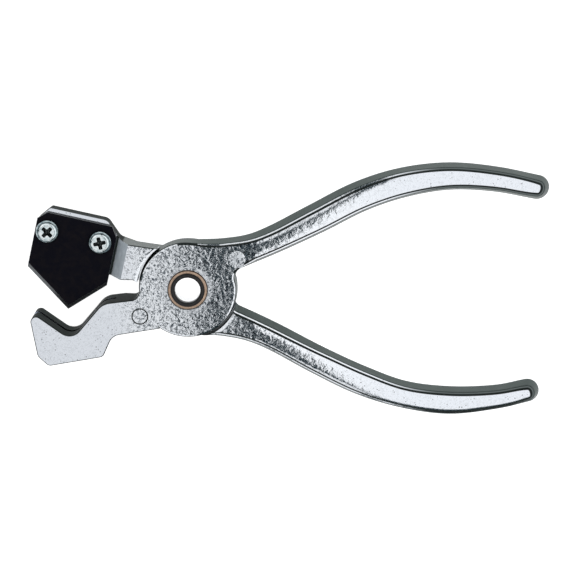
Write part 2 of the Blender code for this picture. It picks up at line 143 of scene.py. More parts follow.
# The side that faces +Y is broader in the middle of a handle.
SHOULDER = 0.6
UPPER_SHOULDER_RUN = ((15.0, 35.0), (55.0, 85.0))
LOWER_SHOULDER_RUN = ((8.0, 20.0), (35.0, 60.0))

# Where, along X, a disc's edge profile turns into the handle's, and the panel's crown starts.
UPPER_BLEND = (-6.0, 14.0)
LOWER_BLEND = (2.0, 12.0)
INNER_BLEND = (18.0, 25.0)
CROWN_BLEND = (13.0, 24.0)
PANEL_CROWN = 0.22
PANEL_COLUMNS = 14
CROWN_POWER = 3
FULL_CROWN_WIDTH = 7.5

# Jaws: rows of (x, y, corner radius). Both reach back to the same plane, on which the tool lies.
JAW_BACK = -10.7
JAW_EDGE = 0.34
ANVIL_OUTLINE = (
    (-12.0, 2.0, 0.0),
    (-17.6, 1.0, 0.0),
    (-20.0, -3.9, 3.0),
    (-33.0, -5.5, 7.0),
    (-45.2, -19.9, 5.0),
    (-61.9, -7.8, 2.2),
    (-58.6, -26.4, 2.5),
    (-54.5, -30.4, 2.5),
    (-33.2, -26.7, 2.2),
    (-29.4, -18.3, 5.0),
    (-11.0, -15.4, 0.0),
)
BLADE_JAW_OUTLINE = (
    (-9.0, 15.7, 0.0),
    (-26.4, 18.3, 3.0),
    (-31.2, 25.6, 3.5),
    (-53.0, 30.5, 1.0),
    (-58.0, 26.5, 1.0),
    (-61.5, 11.1, 1.5),
    (-30.3, 4.0, 0.6),
    (-21.0, 3.8, 1.0),
    (-16.0, 0.6, 0.0),
)
NECK_BACK_RUN = 6.0
STEP_BEVEL = (1.15, 0.24)
STEP_ROUND = 0.3

# Round ejector marks on the front disc's neck and at the root of its handle: (x, y, radius).
NECK_MARK = (-18.6, -10.5, 3.4)
ROOT_MARK = (19.0, 12.0, 3.3)
MARK_DEPTH = 0.16
MARK_WIDTH = 0.75

# Blade: drawn square to its own edges, then turned by its tilt about the pivot.
BLADE_TILT = -12.8
BLADE_THICKNESS = 1.5
BLADE_FRONT = -2.2
BLADE_PAD = BLADE_FRONT - BLADE_THICKNESS
BLADE_OUTLINE = (
    (-62.6, 13.3),
    (-59.2, 16.5),
    (-33.6, 16.5),
    (-31.1, 12.2),
    (-31.1, -6.9),
    (-43.9, -19.5),
    (-62.6, -6.2),
)
CUTTING_CORNERS = (4, 5, 6)
BLADE_GRIND = 1.3
BLADE_BREAK = 0.12
PAD_FOOT = -30.3
PAD_TOP = -26.0
RELIEF_WIDTH = 0.95
RELIEF_DEPTH = 0.5
SLOT_WIDTH = 2.1
SLOT_FLOOR = ((-66.0, -11.2), (-43.2, -23.3), (-29.4, -9.8), (-27.6, -2.0), (-66.0, 0.0))

# Blade screws: places in the blade's own frame, and the turn of each cross recess.
SCREW_OUTER = (-57.6, 9.2, 45.0)
SCREW_INNER = (-37.0, 9.4, 12.0)
SCREW_HEAD_RADIUS = 4.5
SCREW_FLAT_RADIUS = 2.75
SCREW_HEAD_HEIGHT = 2.7
SCREW_SHOULDER_HEIGHT = 1.2
# Faces lower than this below the head's top take the darker crown copy, painted shade.
CROWN_BRIGHT_DROP = 0.12
SCREW_SHANK_RADIUS = 2.4
SCREW_LENGTH = 8.0
SCREW_TIP_CHAMFER = 0.6
CROWN_STEPS = 10
RECESS_SPAN = 4.9
RECESS_WIDTH = 1.5
RECESS_ROUND = 0.42
RECESS_DEPTH = 1.7
RECESS_FLOOR_SHARE = 0.45
TAPPED_RADIUS = 2.46
BLADE_HOLE_RADIUS = 2.7

# Pivot: a bushing through both discs, clamped by a hollow rivet with rolled ends.
BUSHING_RADIUS = 6.9
BUSHING_BORE = 5.75
FLANGE_RADIUS = 7.7
FLANGE_THICKNESS = 0.85
FLANGE_EDGE = 0.4
FLANGE_STEPS = 5
COUNTERBORE_RADIUS = 7.95
COUNTERBORE_DEPTH = 0.6
RUNNING_FIT = 0.06
SEAT_GAP = 0.1
SEAT_LEVEL = HUB_HALF - COUNTERBORE_DEPTH + SEAT_GAP
RIVET_SHANK_RADIUS = 5.65
RIVET_BORE_FRONT = 4.9
RIVET_BORE_BACK = 5.25
RIVET_LIP_RADIUS = 6.6
RIVET_LIP_HEIGHT = 0.8
BORE_STRAIGHT_END = 3.4
LIP_STEPS = 16

# Pockets between the discs: a ring for the spring, a slot for each of its legs, and the arc in
# which the opening stop runs.
POCKET_INNER = 9.4
POCKET_OUTER = 12.0
POCKET_DEPTH = 2.35
LEG_ANGLE = 60.0
LEG_SLOT_INNER = 10.0
LEG_SLOT_OUTER = 15.0
LEG_SLOT_HALF_ANGLE = 8.5
STOP_INNER = 13.2
STOP_OUTER = 16.4
STOP_MIDDLE = 250.0
STOP_HALF_ANGLE = 11.0
STOP_HEIGHT = 2.1
STOP_GAP = 0.3

# Cutters and joined shapes run past the faces they meet by a little. The pad and neck cutters
# also reach sideways past the whole jaw.
OVERRUN = 2.0
JAW_REACH = 40.0

# Studio, in metres: softboxes hang over the tool, and four screens stand in a square round it.
SOFTBOX_HEIGHT = 0.9
FILL_HEIGHT = 1.6
SCREEN_DISTANCE = 1.6
SCREEN_MIDDLE = 0.62
SCREEN_SIZE = (2 * SCREEN_DISTANCE, 1.0)
FLOOR_SIZE = 8.0

# Camera: above the tool, leaning towards +Y, and aimed at a point given from the pivot.
CAMERA_DISTANCE = 700.0
CAMERA_LEAN = 12.6
CAMERA_AIM = Vector((38.66, 0.79, 4.8))
VIEW_WIDTH = 221.8
SENSOR_WIDTH = 36.0


# ---------------------------- plane curves


def arc(centre, radius, start, end, steps):
    """Points along an arc, with angles in degrees."""
    points = []
    for step in range(steps + 1):
        angle = radians(start + (end - start) * step / steps)
        points.append((centre[0] + radius * cos(angle), centre[1] + radius * sin(angle)))
    return points


def circle(centre, radius, sides=COARSE):
    return arc(centre, radius, 0, 360 - 360 / sides, sides - 1)


def turned_about_pivot(point, angle):
    x, y = point
    turn = radians(angle)
    return (x * cos(turn) - y * sin(turn), x * sin(turn) + y * cos(turn))


def on_blade(point):
    """A point in the blade's own frame, placed in the tool."""
    return turned_about_pivot(point, BLADE_TILT)


def rounded(corners):
    """An outline from rows of (x, y, radius), with an arc at each corner that has a radius."""
    outline = []
    for index, (x, y, radius) in enumerate(corners):
        corner = Vector((x, y))
        if radius == 0:
            outline.append((x, y))
            continue
        before = (Vector(corners[index - 1][:2]) - corner).normalized()
        after = (Vector(corners[(index + 1) % len(corners)][:2]) - corner).normalized()
        half = before.angle(after) / 2
        centre = corner + (before + after).normalized() * radius / sin(half)
        first = corner + before * radius / tan(half) - centre
        last = corner + after * radius / tan(half) - centre
        start = degrees(atan2(first.y, first.x))
        turn = (degrees(atan2(last.y, last.x)) - start + 180) % 360 - 180
        steps = max(2, ceil(abs(turn) / CORNER_STEP))
        outline.extend(arc(centre, radius, start, start + turn, steps))
    return outline


def smooth_rows(rows, steps):
    """Catmull-Rom curve through rows of numbers, ending on the last row."""
    found = []
    rows = [Vector(row) for row in rows]
    ends = [2 * rows[0] - rows[1]] + rows + [2 * rows[-1] - rows[-2]]
    for before, start, end, after in zip(ends, ends[1:], ends[2:], ends[3:]):
        for step in range(steps):
            t = step / steps
            found.append(
                start
                + (end - before) * (t / 2)
                + (2 * before - 5 * start + 4 * end - after) * (t * t / 2)
                + (3 * start - before - 3 * end + after) * (t * t * t / 2)
            )
    return found + [rows[-1]]


def smooth_step(value, low, high):
    share = min(1.0, max(0.0, (value - low) / (high - low)))
    return share * share * (3 - 2 * share)


def inward_offsets(outline):
    """For each point of a closed outline, the move that sets both its edges in by one unit."""
    points = [Vector(point) for point in outline]
    area = sum(a.cross(b) for a, b in zip(points, points[1:] + points[:1]))
    side = 1 if area > 0 else -1
    moves = []
    for index, point in enumerate(points):
        back = (point - points[index - 1]).normalized()
        ahead = (points[(index + 1) % len(points)] - point).normalized()
        first = Vector((-back.y, back.x)) * side
        second = Vector((-ahead.y, ahead.x)) * side
        moves.append((first + second) / (1 + first.dot(second)))
    return moves


# ---------------------------- solids


def make_object(name, mesh_data):
    """A new object on the pivot from a bmesh drawn in millimetres, with all faces pointing out."""
    bmesh.ops.recalc_face_normals(mesh_data, faces=mesh_data.faces)
    bmesh.ops.scale(mesh_data, vec=(MM, MM, MM), verts=mesh_data.verts)
    mesh = bpy.data.meshes.new(name)
    mesh_data.to_mesh(mesh)
    mesh_data.free()
    shape = bpy.data.objects.new(name, mesh)
    shape.location = PIVOT
    bpy.context.scene.collection.objects.link(shape)
    return shape


def combine(target, tool, operation):
    """Joins the tool to the target or cuts it away, and removes the tool."""
    modifier = target.modifiers.new("Combine", "BOOLEAN")
    modifier.object = tool
    modifier.operation = operation
    modifier.solver = "EXACT"
    graph = bpy.context.evaluated_depsgraph_get()
    result = bpy.data.meshes.new_from_object(target.evaluated_get(graph))
    target.modifiers.clear()
    target.data = result
    bpy.data.objects.remove(tool)


def join(target, *tools):
    for tool in tools:
        combine(target, tool, "UNION")


def cut(target, *tools):
    for tool in tools:
        combine(target, tool, "DIFFERENCE")


def add_walls(shape, rings):
    """Adds the faces between each closed ring of vertices and the next, which may be one point."""
    for ring, following in zip(rings, rings[1:]):
        for index in range(len(ring)):
            back = index - 1
            corners = (ring[back], ring[index], following[index], following[back])
            shape.faces.new(dict.fromkeys(corners))


def loft(name, rings):
    """A solid through closed rings of equal length, with flat ends."""
    shape = bmesh.new()
    rings = [[shape.verts.new(point) for point in ring] for ring in rings]
    add_walls(shape, rings)
    shape.faces.new(rings[0])
    shape.faces.new(rings[-1])
    return make_object(name, shape)


def prism(name, outline, low, high):
    """A straight-sided solid on an outline, between two heights."""
    return loft(name, [[(x, y, z) for x, y in outline] for z in (low, high)])


def eased_prism(name, outline, low, high, ease):
    """A prism whose edges at both ends are rounded by a little."""
    moves = inward_offsets(outline)
    levels = []
    for angle in (0, 30, 60, 90):
        levels.append((ease * (1 - cos(radians(angle))), ease * (1 - sin(radians(angle)))))
    steps = [(inset, low + drop) for inset, drop in reversed(levels)]
    steps += [(inset, high - drop) for inset, drop in levels]
    rings = []
    for inset, z in steps:
        ring = []
        for (x, y), move in zip(outline, moves):
            ring.append((x + move.x * inset, y + move.y * inset, z))
        rings.append(ring)
    return loft(name, rings)


def turned(name, profile, steps, closed=True):
    """A solid of revolution. An open profile starts and ends on the axis."""
    shape = bmesh.new()
    rings = []
    for radius, height in profile:
        if radius == 0:
            rings.append([shape.verts.new((0, 0, height))] * steps)
            continue
        rings.append([shape.verts.new((x, y, height)) for x, y in circle((0, 0), radius, steps)])
    if closed:
        rings.append(rings[0])
    add_walls(shape, rings)
    return make_object(name, shape)


def cylinder(name, radius, low, high):
    return prism(name, circle((0, 0), radius, FINE), low, high)


def ring_sector(name, inner, outer, start, end, low, high):
    """Part of a flat ring between two angles in degrees."""
    steps = ceil((end - start) / SECTOR_STEP)
    outline = arc((0, 0), inner, start, end, steps) + arc((0, 0), outer, end, start, steps)
    return prism(name, outline, low, high)


# ---------------------------- levers


def handle_edges(rows):
    """Both edges of a handle and its tip: (left points, right points, tip point)."""
    path = smooth_rows(rows, HANDLE_STEPS)
    left, right = [], []
    for index, (x, y, width) in enumerate(path):
        before = path[max(index - 1, 0)]
        after = path[min(index + 1, len(path) - 1)]
        along = Vector((after[0] - before[0], after[1] - before[1])).normalized()
        across = Vector((-along.y, along.x)) * width / 2
        middle = Vector((x, y))
        left.append(middle + across)
        right.append(middle - across)
    reach = along * across.length
    for step in range(1, TIP_STEPS):
        tilt = radians(90 * step / TIP_STEPS)
        left.append(middle + across * cos(tilt) + reach * sin(tilt))
        right.append(middle - across * cos(tilt) + reach * sin(tilt))
    return left, right, middle + reach


def body_outline(rows, web, fillet, upper):
    """The outline of a disc with its handle: (points, tip's place, disc's place, pairs).

    It runs along the web and the handle's outer edge, round the tip, back along the inner edge and
    its fillet, and then round the disc. Pairs counts the points on each side of the tip that face
    each other across the handle.
    """
    side = 1 if upper else -1
    left, right, tip = handle_edges(rows)
    outer, inner = (left, right) if upper else (right, left)
    web_start = Vector(web[0])
    disc_start = DISC_START * side
    span = 360 - (degrees(atan2(web_start.y, web_start.x)) - disc_start) * side
    steps = ceil(span / SECTOR_STEP)
    disc = arc((0, 0), HUB_RADIUS, disc_start, disc_start - side * span, steps)[:-1]
    web_rows = [Vector(row) for row in web] + [outer[place] for place in WEB_MEETS]
    web_points = smooth_rows(web_rows, HANDLE_STEPS)[: (len(web_rows) - 2) * HANDLE_STEPS]
    corners = ((*inner[FILLET_MEETS - 1], 0.0), fillet, (*disc[0], 0.0))
    inner = inner[FILLET_MEETS:]
    points = web_points + outer[WEB_MEETS[1] :]
    tip_place = len(points)
    points += [tip, *reversed(inner)]
    points += [Vector(point) for point in rounded(corners)[1:-1]]
    disc_place = len(points)
    points += [Vector(point) for point in disc]
    return points, tip_place, disc_place, len(inner)


def handle_shares(points, tip_place, disc_place, web_end, upper):
    """For each point of a body's outline, how far its edge is the handle's and not the disc's."""
    outer_blend = UPPER_BLEND if upper else LOWER_BLEND
    inner_blend = INNER_BLEND if upper else LOWER_BLEND
    shares = []
    for place, point in enumerate(points):
        beside_web = (point.y > 0) == upper and point.x <= web_end
        if place < tip_place or (place >= disc_place and beside_web):
            shares.append(smooth_step(point.x, *outer_blend))
        elif place < disc_place:
            shares.append(smooth_step(point.x, *inner_blend))
        else:
            shares.append(0.0)
    return shares


def shoulder_shares(points, tip_place, disc_place, upper):
    """For each point of a body's outline, its share of the shoulder, on the side facing +Y."""
    rise, fall = UPPER_SHOULDER_RUN if upper else LOWER_SHOULDER_RUN
    shares = []
    for place, point in enumerate(points):
        swell = smooth_step(point.x, *rise) - smooth_step(point.x, *fall)
        faces_up = place < disc_place and (place < tip_place) == upper
        shares.append(swell if faces_up else 0.0)
    return shares


def tip_shares(points, tip, centre):
    """For each point of a body's outline, how far it is along the broadened end of the handle."""
    reach = (tip - centre).length
    along = (tip - centre).normalized()
    past_run = [(point - centre).dot(along) + TIP_RUN for point in points]
    return [max(0.0, past / (reach + TIP_RUN)) ** 3 for past in past_run]


def make_body(name, rows, web, fillet, upper):
    """One disc with its handle, with the disc's rounded edge flowing into the handle's profile."""
    points, tip_place, disc_place, pairs = body_outline(rows, web, fillet, upper)
    outline = list(
        zip(
            points,
            inward_offsets(points),
            handle_shares(points, tip_place, disc_place, web[0][0], upper),
            shoulder_shares(points, tip_place, disc_place, upper),
            tip_shares(points, points[tip_place], Vector(rows[-1][:2])),
        )
    )
    profile = list(zip(HUB_EDGE, HANDLE_EDGE, TIP_INSETS))
    levels = [(row, -1) for row in reversed(profile)] + [(row, 1) for row in profile[1:]]
    shape = bmesh.new()
    rings = []
    for ((hub_in, hub_z), (handle_in, handle_z), tip_in), up in levels:
        ring = []
        for point, move, share, swell, end in outline:
            inset = hub_in + (handle_in - hub_in) * share + tip_in * end
            inset += SHOULDER * swell * handle_z / HUB_HALF
            z = (hub_z + (handle_z - hub_z) * share) * up
            ring.append(shape.verts.new((*(point + move * inset), z)))
        rings.append(ring)
    add_walls(shape, rings)
    fill_panel(shape, rings[0], tip_place, pairs, -1)
    fill_panel(shape, rings[-1], tip_place, pairs, 1)
    return make_object(name, shape)


def fill_panel(shape, ring, tip_place, pairs, up):
    """Closes one face of a body: a crowned grid across the handle, and a flat face on the disc."""
    rows = []
    for step in range(1, pairs + 1):
        left = ring[tip_place - step]
        right = ring[tip_place + step]
        share = smooth_step(min(left.co.x, right.co.x), *CROWN_BLEND)
        width = min(1.0, (left.co - right.co).length / FULL_CROWN_WIDTH)
        row = [left]
        for column in range(1, PANEL_COLUMNS):
            across = column / PANEL_COLUMNS
            point = left.co.lerp(right.co, across)
            crown = 1 - abs(2 * across - 1) ** CROWN_POWER
            point.z += up * PANEL_CROWN * crown * share * width
            row.append(shape.verts.new(point))
        row.append(right)
        rows.append(row)
    for row, following in zip(rows, rows[1:]):
        for corners in zip(row, row[1:], following[1:], following):
            shape.faces.new(corners)
    for pair in zip(rows[0], rows[0][1:]):
        shape.faces.new((ring[tip_place], *pair))
    border = ring[tip_place + pairs :] + ring[: tip_place - pairs + 1]
    shape.faces.new(border + rows[-1][1:-1])


def step_cutter(name, side):
    """Clears room for the other lever's disc, and leaves a broad bevel along the step's edge."""
    level = -side * LAP_GAP / 2
    face = side * HUB_HALF
    width, depth = STEP_BEVEL
    slope = depth / width
    profile = [
        (0, level),
        (STEP_RADIUS, level),
        (STEP_RADIUS, face - side * (depth + STEP_ROUND)),
        (STEP_RADIUS + STEP_ROUND * slope, face - side * depth),
    ]
    if side == 1:
        profile.append((STEP_RADIUS + width + OVERRUN, face + side * OVERRUN * slope))
    end = side * (HUB_HALF - JAW_BACK)
    profile.append((profile[-1][0], end))
    profile.append((0, end))
    return turned(name, profile, 2 * FINE, closed=False)


def pad_cutter(name):
    """Clears the blade's pad: flat at the blade's back, then a ramp up to the neck's front face."""
    slope = (PAD_TOP - PAD_FOOT) / (HUB_HALF - BLADE_PAD)
    top = HUB_HALF + OVERRUN
    profile = (
        (-2 * JAW_REACH, BLADE_PAD),
        (PAD_FOOT, BLADE_PAD),
        (PAD_FOOT + slope * (top - BLADE_PAD), top),
        (-2 * JAW_REACH, top),
    )
    return loft(name, [[(*on_blade((u, v)), z) for u, z in profile] for v in (-JAW_REACH, JAW_REACH)])


def neck_back_cutter(name, start, end):
    """Slopes the back of a neck from the jaw's back plane up to the hub's back face."""
    low = JAW_BACK - OVERRUN
    profile = (
        (start, JAW_BACK),
        (end, -HUB_HALF),
        (JAW_REACH, -HUB_HALF),
        (JAW_REACH, low),
        (start, low),
    )
    return loft(name, [[(x, y, z) for x, z in profile] for y in (-JAW_REACH, JAW_REACH)])


def pocket_heights(side):
    return sorted((-side * OVERRUN, side * (LAP_GAP / 2 + POCKET_DEPTH)))


def cut_pivot(lever, side):
    """Bores a hub disc and cuts its counterbore and its half of the spring pocket."""
    above = HUB_HALF + OVERRUN
    counterbore = sorted((side * (HUB_HALF - COUNTERBORE_DEPTH), side * above))
    low, high = pocket_heights(side)
    ring = ((POCKET_INNER, low), (POCKET_OUTER, low), (POCKET_OUTER, high), (POCKET_INNER, high))
    cut(
        lever,
        cylinder("bore", BUSHING_RADIUS + RUNNING_FIT, -above, above),
        cylinder("counterbore", COUNTERBORE_RADIUS, *counterbore),
        turned("pocket", ring, FINE),
    )


def cut_leg_slot(lever, start, end, side):
    heights = pocket_heights(side)
    cut(lever, ring_sector("leg_slot", LEG_SLOT_INNER, LEG_SLOT_OUTER, start, end, *heights))


def make_anvil_lever():
    """Front disc, anvil jaw and upper handle in one casting."""
    lever = make_body("anvil_lever_casting", UPPER_HANDLE, UPPER_WEB, UPPER_FILLET, upper=True)
    jaw = eased_prism("jaw", rounded(ANVIL_OUTLINE), JAW_BACK, HUB_HALF, JAW_EDGE)
    cut(jaw, neck_back_cutter("neck_back", -STEP_RADIUS - NECK_BACK_RUN, -STEP_RADIUS + OVERRUN))
    join(lever, jaw)
    x, y, radius = ROOT_MARK
    rings = []
    for reach, z in ((radius, 0), (radius, HUB_HALF), (radius - MARK_WIDTH, HUB_HALF + MARK_DEPTH)):
        rings.append([(*point, z) for point in circle((x, y), reach)])
    join(lever, loft("root_mark", rings))
    blade_middle = BLADE_FRONT - BLADE_THICKNESS / 2
    slot_low = blade_middle - SLOT_WIDTH / 2
    x, y, radius = NECK_MARK
    groove_floor = HUB_HALF - MARK_DEPTH
    inner, outer = radius - MARK_WIDTH, radius
    mark_groove = turned(
        "neck_mark",
        (
            (inner + MARK_WIDTH / 3, groove_floor),
            (outer - MARK_WIDTH / 3, groove_floor),
            (outer, HUB_HALF + MARK_DEPTH),
            (inner, HUB_HALF + MARK_DEPTH),
        ),
        COARSE,
    )
    mark_groove.location = PIVOT + Vector((x, y, 0)) * MM
    bpy.context.view_layer.update()
    cut(
        lever,
        mark_groove,
        prism("slot", SLOT_FLOOR, slot_low, slot_low + SLOT_WIDTH),
        step_cutter("step", -1),
    )
    cut_pivot(lever, 1)
    cut_leg_slot(lever, LEG_ANGLE - LEG_SLOT_HALF_ANGLE, LEG_ANGLE + LEG_SLOT_HALF_ANGLE, 1)
    margin = degrees(STOP_GAP / STOP_INNER)
    stop_pocket = ring_sector(
        "stop_pocket",
        STOP_INNER - STOP_GAP,
        STOP_OUTER + STOP_GAP,
        STOP_MIDDLE - STOP_HALF_ANGLE - margin,
        STOP_MIDDLE + STOP_HALF_ANGLE + CLOSING_ANGLE + margin,
        -OVERRUN,
        STOP_HEIGHT + STOP_GAP,
    )
    cut(lever, stop_pocket)
    return lever


def make_blade_lever():
    """Rear disc, blade jaw and lower handle in one casting."""
    lever = make_body("blade_lever_casting", LOWER_HANDLE, LOWER_WEB, LOWER_FILLET, upper=False)
    jaw = eased_prism("jaw", rounded(BLADE_JAW_OUTLINE), JAW_BACK, HUB_HALF, JAW_EDGE)
    cut(jaw, neck_back_cutter("neck_back", -STEP_RADIUS - NECK_BACK_RUN, -STEP_RADIUS))
    join(lever, jaw)
    outer, inner = PAD_FOOT - RELIEF_WIDTH, PAD_FOOT
    corners = ((outer, -JAW_REACH), (inner, -JAW_REACH), (inner, JAW_REACH), (outer, JAW_REACH))
    corners = [on_blade(corner) for corner in corners]
    relief = prism("relief", corners, BLADE_PAD - RELIEF_DEPTH, BLADE_PAD + OVERRUN)
    cut(lever, pad_cutter("pad"), step_cutter("step", 1), relief)
    cut_pivot(lever, -1)
    start = -LEG_ANGLE - LEG_SLOT_HALF_ANGLE - CLOSING_ANGLE
    cut_leg_slot(lever, start, -LEG_ANGLE + LEG_SLOT_HALF_ANGLE, -1)
    for u, v, _ in (SCREW_OUTER, SCREW_INNER):
        hole = circle(on_blade((u, v)), TAPPED_RADIUS)
        cut(lever, prism("tapped", hole, JAW_BACK - OVERRUN, HUB_HALF))
    start, end = STOP_MIDDLE - STOP_HALF_ANGLE, STOP_MIDDLE + STOP_HALF_ANGLE
    join(lever, ring_sector("lug", STOP_INNER, STOP_OUTER, start, end, -OVERRUN, STOP_HEIGHT))
    return lever


# ---------------------------- blade, screws and pivot


def blade_ring(grind, ease):
    """The blade's outline with its two cutting edges set in by one amount, the others by another."""
    lines = []
    for index, start in enumerate(BLADE_OUTLINE):
        end = BLADE_OUTLINE[(index + 1) % len(BLADE_OUTLINE)]
        start, end = Vector(start), Vector(end)
        along = (end - start).normalized()
        inward = Vector((along.y, -along.x))
        inset = grind if index in CUTTING_CORNERS[:-1] else ease
        lines.append((start + inward * inset, along))
    corners = []
    for (first, along), (second, heading) in zip([lines[-1]] + lines, lines):
        reach = (second - first).cross(heading) / along.cross(heading)
        corners.append(on_blade(first + along * reach))
    return corners


def make_blade():
    """Flat plate with both faces ground back along the two lower edges, and two screw holes."""
    back = BLADE_PAD + SEAT_GAP
    half = (BLADE_FRONT - back) / 2
    middle = (BLADE_FRONT + back) / 2
    shape = bmesh.new()
    grind_at_break = BLADE_GRIND * (1 - BLADE_BREAK / half)
    for grind, ease, rise in (
        (BLADE_GRIND, BLADE_BREAK, half),
        (grind_at_break, 0.0, half - BLADE_BREAK),
        (0.0, 0.0, 0.0),
    ):
        for x, y in blade_ring(grind, ease):
            for z in {middle + rise, middle - rise}:
                shape.verts.new((x, y, z))
    bmesh.ops.convex_hull(shape, input=shape.verts)
    bmesh.ops.dissolve_limit(shape, angle_limit=radians(1), verts=shape.verts, edges=shape.edges)
    blade = make_object("blade_plate", shape)
    for u, v, _ in (SCREW_OUTER, SCREW_INNER):
        hole = circle(on_blade((u, v)), BLADE_HOLE_RADIUS)
        cut(blade, prism("hole", hole, back - OVERRUN, BLADE_FRONT + OVERRUN))
    return blade


def cross_outline(turn):
    """Outline of a cross recess with rounded arms, turned by an angle."""
    reach = RECESS_SPAN / 2
    side = RECESS_WIDTH / 2
    corners = []
    for quarter in range(4):
        for point in ((reach, -side), (reach, side), (side, side)):
            corners.append((*turned_about_pivot(point, turn + 90 * quarter), RECESS_ROUND))
    return rounded(corners)


def make_screw(name, place):
    """Pan-head screw with a tapered cross recess, drawn about its own axis and set on the blade."""
    u, v, turn = place
    run = SCREW_HEAD_RADIUS - SCREW_FLAT_RADIUS
    rise = SCREW_HEAD_HEIGHT - SCREW_SHOULDER_HEIGHT
    profile = [
        (0, -SCREW_LENGTH),
        (SCREW_SHANK_RADIUS - SCREW_TIP_CHAMFER, -SCREW_LENGTH),
        (SCREW_SHANK_RADIUS, -SCREW_LENGTH + SCREW_TIP_CHAMFER),
        (SCREW_SHANK_RADIUS, SEAT_GAP),
        (SCREW_HEAD_RADIUS - SEAT_GAP, SEAT_GAP),
        (SCREW_HEAD_RADIUS, 2 * SEAT_GAP),
    ]
    for x, z in arc((0, 0), 1, 0, 90, CROWN_STEPS):
        profile.append((SCREW_FLAT_RADIUS + run * x, SCREW_SHOULDER_HEIGHT + rise * z))
    profile.append((0, SCREW_HEAD_HEIGHT))
    screw = turned(name, profile, COARSE, closed=False)
    floor = SCREW_HEAD_HEIGHT - RECESS_DEPTH
    above = SCREW_HEAD_HEIGHT + OVERRUN
    wide = 1 + (1 - RECESS_FLOOR_SHARE) * OVERRUN / RECESS_DEPTH
    rings = []
    for share, z in ((RECESS_FLOOR_SHARE, floor), (wide, above)):
        rings.append([(x * share, y * share, z) for x, y in cross_outline(turn)])
    cut(screw, loft("recess", rings))
    x, y = on_blade((u, v))
    screw.location = PIVOT + Vector((x, y, BLADE_FRONT)) * MM
    return screw


def screw_slot(face):
    """The material of a screw's face: 0 flat top, 1 inside the cross recess, 2 crown and shank, the
    last two coloured darker as painted shade.
    """
    low = SCREW_HEAD_HEIGHT - RECESS_DEPTH - SEAT_GAP
    reach = hypot(face.center.x, face.center.y) / MM
    height = face.center.z / MM
    if reach < RECESS_SPAN / 2 + SEAT_GAP and low < height < SCREW_HEAD_HEIGHT - SEAT_GAP:
        return 1
    return 0 if height > SCREW_HEAD_HEIGHT - CROWN_BRIGHT_DROP else 2


def rivet_slot(face):
    """The material of the rivet's face: 1 in its bore and inside its rear lip, coloured bright as
    painted light, and 0 elsewhere.
    """
    reach = hypot(face.center.x, face.center.y) / MM
    inside = reach < (RIVET_BORE_BACK + RIVET_LIP_RADIUS) / 2
    return int(inside and face.center.z / MM < BORE_STRAIGHT_END)


def make_bushing():
    """Flanged bushing: the flange sits in the front counterbore, the barrel carries both discs."""
    front = SEAT_LEVEL + FLANGE_THICKNESS
    profile = [
        (BUSHING_BORE, -SEAT_LEVEL),
        (BUSHING_RADIUS, -SEAT_LEVEL),
        (BUSHING_RADIUS, SEAT_LEVEL),
        (FLANGE_RADIUS, SEAT_LEVEL),
    ]
    for x, z in arc((0, 0), 1, 0, 90, FLANGE_STEPS):
        rim = FLANGE_RADIUS - FLANGE_EDGE + FLANGE_EDGE * x
        profile.append((rim, front - FLANGE_EDGE + FLANGE_EDGE * z))
    profile.append((BUSHING_BORE, front))
    return turned("pivot_bushing_turned", profile, FINE)


def make_washer():
    """Washer in the rear counterbore, under the rivet's rear lip."""
    back = -SEAT_LEVEL - FLANGE_THICKNESS
    front = -SEAT_LEVEL - SEAT_GAP
    profile = (
        (BUSHING_BORE, back),
        (FLANGE_RADIUS - FLANGE_EDGE, back),
        (FLANGE_RADIUS, back + FLANGE_EDGE),
        (FLANGE_RADIUS, front),
        (BUSHING_BORE, front),
    )
    return turned("rivet_washer_turned", profile, FINE)


def make_rivet():
    """Hollow rivet: a tube whose two ends are rolled outwards over the bushing and the washer."""
    seat = SEAT_LEVEL + FLANGE_THICKNESS + SEAT_GAP
    profile = []
    for side, bore in ((1, RIVET_BORE_FRONT), (-1, RIVET_BORE_BACK)):
        middle = (bore + RIVET_LIP_RADIUS) / 2
        half_wide = (RIVET_LIP_RADIUS - bore) / 2
        half = [(bore, side * BORE_STRAIGHT_END)]
        for x, z in arc((0, 0), 1, 180, 0, LIP_STEPS):
            half.append((middle + half_wide * x, side * (seat + RIVET_LIP_HEIGHT * z)))
        half.append((RIVET_SHANK_RADIUS, side * seat))
        profile.extend(half if side == 1 else reversed(half))
    return turned("pivot_rivet_rolled", profile, FINE)


# ---------------------------- materials


